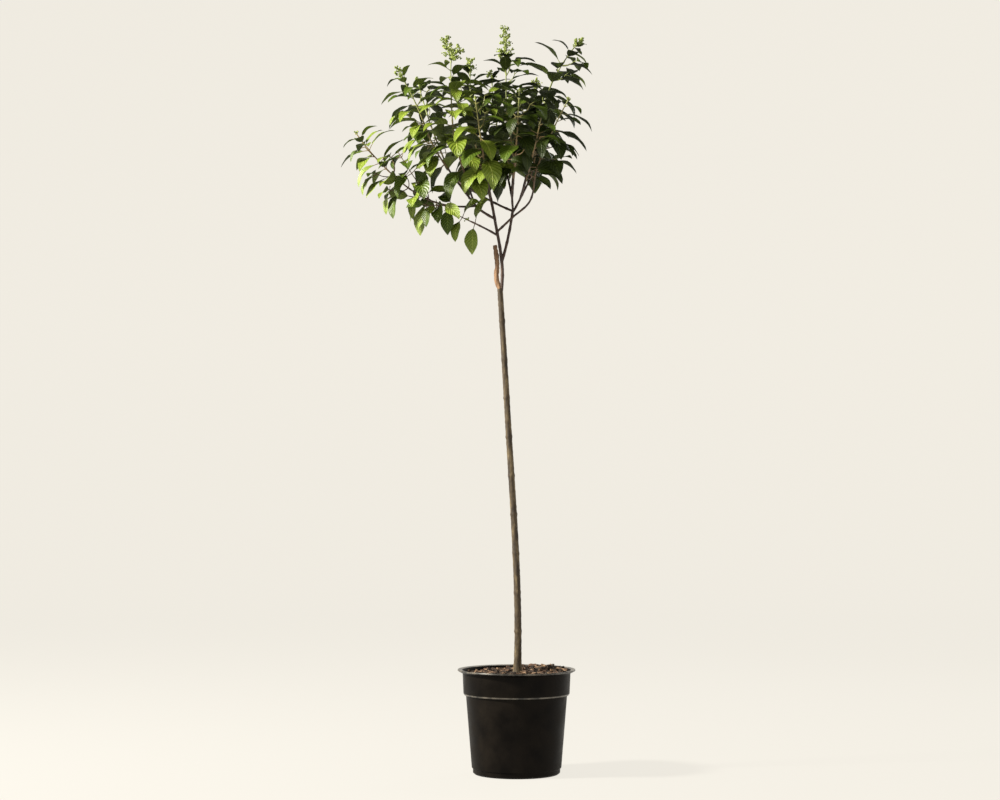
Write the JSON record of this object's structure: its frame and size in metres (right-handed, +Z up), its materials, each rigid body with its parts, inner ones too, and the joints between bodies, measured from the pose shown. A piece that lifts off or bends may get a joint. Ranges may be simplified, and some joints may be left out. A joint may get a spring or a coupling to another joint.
{
  "type": "potted panicle hydrangea standard",
  "caption": "Young panicle hydrangea grown as a standard in a round black nursery pot: a slender bare stem and an open crown of upright leafy shoots tipped with green bud panicles.",
  "frame": {"origin": "middle of the pot's flat sole, on the floor", "axes": "+Z up along the stem, +X to the right as the picture shows it, +Y away from its camera"},
  "size_m": [0.4939, 0.4192, 1.5503],
  "materials": {
    "black_plastic": "satin black, moulded",
    "bark_mulch": "rough dark chips",
    "stem_bark": "smooth tan bark",
    "old_wood": "dry flaking bark",
    "young_bark": "smooth reddish bark",
    "leaf_green": "soft quilted leaf"
  },
  "bodies": {
    "root": {"pot": "black_plastic", "soil": "bark_mulch", "stem": "stem_bark", "cut_leader": "old_wood", "left_leader": "young_bark", "right_leader": "young_bark", "left_limb": "young_bark", "far_left_bough": "young_bark", "tall_left_bough": "young_bark", "upper_left_bough": "young_bark", "centre_bough": "young_bark", "right_bough": "young_bark", "outer_right_bough": "young_bark", "inner_left_bough": "young_bark", "back_left_bough": "young_bark", "front_left_bough": "young_bark", "front_centre_bough": "young_bark", "front_right_bough": "young_bark", "back_centre_bough": "young_bark", "back_right_bough": "young_bark", "low_left_bough": "young_bark", "far_left_foliage": "leaf_green", "tall_left_foliage": "leaf_green", "upper_left_foliage": "leaf_green", "centre_foliage": "leaf_green", "right_foliage": "leaf_green", "outer_right_foliage": "leaf_green", "inner_left_foliage": "leaf_green", "back_left_foliage": "leaf_green", "front_left_foliage": "leaf_green", "front_centre_foliage": "leaf_green", "front_right_foliage": "leaf_green", "back_centre_foliage": "leaf_green", "back_right_foliage": "leaf_green", "low_left_foliage": "leaf_green"}
  },
  "joints": []
}
